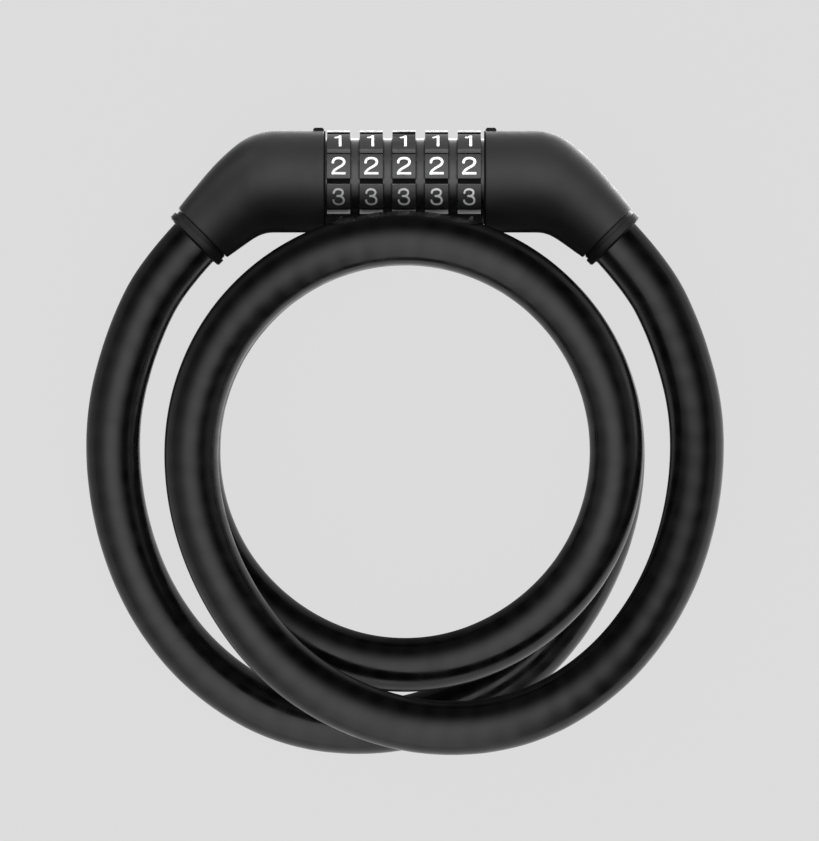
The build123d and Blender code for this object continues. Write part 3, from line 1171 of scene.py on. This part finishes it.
def studio(name, lit, reach, tilts, spreads, sides=None, under=None, rims=None):
    """Six soft panels in a box around the lock, seen only by the pieces in lit. Their
    brightness follows the direction: tilts is read by the angle from straight up towards
    +Y, spreads by the angle towards +X and multiplies it, and sides is added to it, by the
    same angle. under, by compass angle from +X, takes over below the lock, and rims, by
    the same angle, multiplies what is there."""
    for k, d in enumerate(((0, 0, 1), (0, 0, -1), (1, 0, 0), (-1, 0, 0), (0, 1, 0), (0, -1, 0))):
        data = bpy.data.lights.new(f"{name}_{k}", "AREA")
        data.shape = "SQUARE"
        data.size = 2 * reach
        data.energy = math.pi * data.size**2
        data.use_nodes = True
        tree = data.node_tree
        tree.nodes.clear()
        out = tree.nodes.new("ShaderNodeOutputLight")
        glow = tree.nodes.new("ShaderNodeEmission")
        tree.links.new(glow.outputs[0], out.inputs[0])
        place = tree.nodes.new("ShaderNodeNewGeometry")
        split = tree.nodes.new("ShaderNodeSeparateXYZ")
        tree.links.new(place.outputs["Position"], split.inputs[0])
        x, y, z = split.outputs
        z = number(tree, "SUBTRACT", z, 0.02)
        degree = 180 / math.pi
        tilt = number(tree, "MULTIPLY", number(tree, "ARCTAN2", y, z), degree)
        flat = number(
            tree,
            "SQRT",
            number(tree, "ADD", number(tree, "MULTIPLY", y, y), number(tree, "MULTIPLY", z, z)),
        )
        across = number(tree, "MULTIPLY", number(tree, "ARCTAN2", x, flat), degree)
        level = number(
            tree,
            "MULTIPLY",
            table(tree, tilt, -180, 180, tilts),
            table(tree, across, -90, 90, spreads),
        )
        if sides:
            level = number(tree, "ADD", level, table(tree, across, -90, 90, sides))
        if rims:
            compass = number(tree, "MULTIPLY", number(tree, "ARCTAN2", y, x), degree)
            below = number(tree, "LESS_THAN", z, 0.0)
            rim = number(tree, "SUBTRACT", table(tree, compass, -180, 180, rims), 1.0)
            level = number(
                tree, "MULTIPLY", level, number(tree, "ADD", 1.0, number(tree, "MULTIPLY", below, rim))
            )
        if under:
            compass = number(tree, "MULTIPLY", number(tree, "ARCTAN2", y, x), degree)
            below = number(tree, "LESS_THAN", z, 0.0)
            low = table(tree, compass, -180, 180, under)
            level = number(
                tree,
                "ADD",
                number(tree, "MULTIPLY", level, number(tree, "SUBTRACT", 1.0, below)),
                number(tree, "MULTIPLY", low, below),
            )
        tree.links.new(level, glow.inputs["Strength"])
        obj = bpy.data.objects.new(f"{name}_{k}", data)
        scene.collection.objects.link(obj)
        d = Vector(d)
        x = Vector((1, 0, 0)) if abs(d.x) < 0.5 else Vector((0, 1, 0))
        obj.matrix_world = Matrix((x, d.cross(x), d)).transposed().to_4x4()
        obj.location = Vector((0, 0, 0.02)) + d * reach
        obj.visible_camera = False
        obj.light_linking.receiver_collection = lit


def panel(name, tilt, span, half_width, radiance, lit, reach=1.1, lean=0.0):
    """A flat soft panel facing the lock from reach away. tilt is from straight above
    towards +Y, in degrees, span its height and half_width its half width as seen from
    the lock, and lean turns it towards +X."""
    height = 2 * reach * math.tan(math.radians(span / 2))
    width = 2 * reach * math.tan(math.radians(half_width))
    data = bpy.data.lights.new(name, "AREA")
    data.shape = "RECTANGLE"
    data.size, data.size_y = width, height
    data.energy = radiance * math.pi * width * height
    obj = bpy.data.objects.new(name, data)
    scene.collection.objects.link(obj)
    a, b = math.radians(tilt), math.radians(lean)
    d = Vector((math.sin(b), math.sin(a) * math.cos(b), math.cos(a) * math.cos(b)))
    x = Vector((math.cos(b), -math.sin(a) * math.sin(b), -math.cos(a) * math.sin(b)))
    obj.matrix_world = Matrix((x, d.cross(x), d)).transposed().to_4x4()
    obj.location = Vector((0, 0, 0.02)) + d * reach
    obj.visible_camera = False
    obj.light_linking.receiver_collection = lit
    return obj


cables = (cable_coil, cable_lead)
figures = [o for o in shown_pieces() if o.name.startswith("numbers_")]
bright = [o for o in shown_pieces() if o.name.startswith(("locking_shank", "lock_barrel", "shank_cross_pin"))]
head = [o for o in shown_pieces() if o not in cables and o not in figures and o not in bright]
lit_cable = group("cable_lit", [*cables, *bright, floor])
lit_head = group("head_lit", head)
lit_figures = group("figures_lit", figures)

FIGURE_PANELS = ((70, 30, 14.0, 10),)
studio(
    "cable_studio",
    lit_cable,
    3.0,
    tilts=(
        (-180, 0.5), (-130, 0.6), (-112, 0.75), (-98, 0.9), (-86, 1.0), (-75, 1.1),
        (-57, 1.25), (-40, 1.42), (-13, 1.5), (-3, 1.42), (6, 1.27), (14.6, 1.0),
        (23, 0.72), (32, 0.42), (40, 0.22), (50, 0.08), (60, 0.05), (90, 0.06), (180, 0.04),
    ),
    spreads=(
        (-90, 0.05), (-75, 0.08), (-63, 0.16), (-50, 0.31), (-41, 0.5), (-32, 0.72),
        (-23, 0.92), (-14, 1.03), (-2, 1.0), (6, 0.9), (12, 0.76), (20, 0.5),
        (28, 0.24), (37, 0.09), (46, 0.02), (60, 0.0), (90, 0.0),
    ),
    sides=(
        (-90, 0.22), (-75, 0.16), (-60, 0.08), (-45, 0.0), (45, 0.0), (55, 0.1),
        (65, 0.24), (75, 0.3), (90, 0.3),
    ),
    under=(
        (-180, 0.35), (-135, 0.55), (-90, 0.72), (-45, 0.8), (0, 0.85), (45, 0.35),
        (90, 0.06), (135, 0.15), (180, 0.35),
    ),
)
studio(
    "head_studio",
    lit_head,
    3.0,
    tilts=(
        (-180, 0.5), (-150, 0.35), (-130, 0.15), (-105, 0.05), (-90, 0.03), (-50, 0.03), (-41, 0.08), (-33, 0.28), (-24, 0.8),
        (-15, 1.45), (-6, 2.2), (2, 2.7), (10, 2.85), (18, 2.95), (26, 2.85),
        (34, 2.7), (43, 2.35), (51, 1.85), (60, 1.45), (70, 1.2), (80, 1.1),
        (117, 1.0), (135, 1.3), (148, 2.4), (160, 4.5), (180, 5.0),
    ),
    spreads=((-90, 0.1), (-65, 0.22), (-45, 0.5), (-25, 0.85), (-10, 1.0), (25, 1.0), (45, 0.85), (65, 0.5), (90, 0.2)),
    rims=(
        (-180, 1.0), (20, 1.0), (35, 1.35), (55, 1.35), (72, 1.0), (108, 1.0), (124, 0.2),
        (152, 0.2), (170, 1.0), (180, 1.0),
    ),
)
panel("head_side_left", 82, 30, 16, 1.4, lit_head, lean=-43)
for k, (tilt, span, radiance, lean) in enumerate(FIGURE_PANELS):
    panel(f"figure_panel_{k}", tilt, span, 30, radiance, lit_figures, lean=lean)

data = bpy.data.lights.new("figure_spot", "AREA")
data.size = 0.012
data.energy = math.pi * data.size**2 * 13.0
spot = bpy.data.objects.new("figure_spot", data)
scene.collection.objects.link(spot)
spot.location = (0.024, 0.075, 0.058)
spot.visible_camera = False
spot.light_linking.receiver_collection = lit_figures

world = bpy.data.worlds.new("studio")
scene.world = world
world.use_nodes = True
wt = world.node_tree
wt.nodes.clear()
w_out = wt.nodes.new("ShaderNodeOutputWorld")
w_mix = wt.nodes.new("ShaderNodeMixShader")
w_dim = wt.nodes.new("ShaderNodeBackground")
w_pale = wt.nodes.new("ShaderNodeBackground")
w_path = wt.nodes.new("ShaderNodeLightPath")
w_dim.inputs["Color"].default_value = (0.0, 0.0, 0.0, 1)
w_pale.inputs["Color"].default_value = (0.716, 0.716, 0.716, 1)
wt.links.new(w_path.outputs["Is Camera Ray"], w_mix.inputs["Fac"])
wt.links.new(w_dim.outputs[0], w_mix.inputs[1])
wt.links.new(w_pale.outputs[0], w_mix.inputs[2])
wt.links.new(w_mix.outputs[0], w_out.inputs["Surface"])
scene.view_settings.view_transform = "Standard"
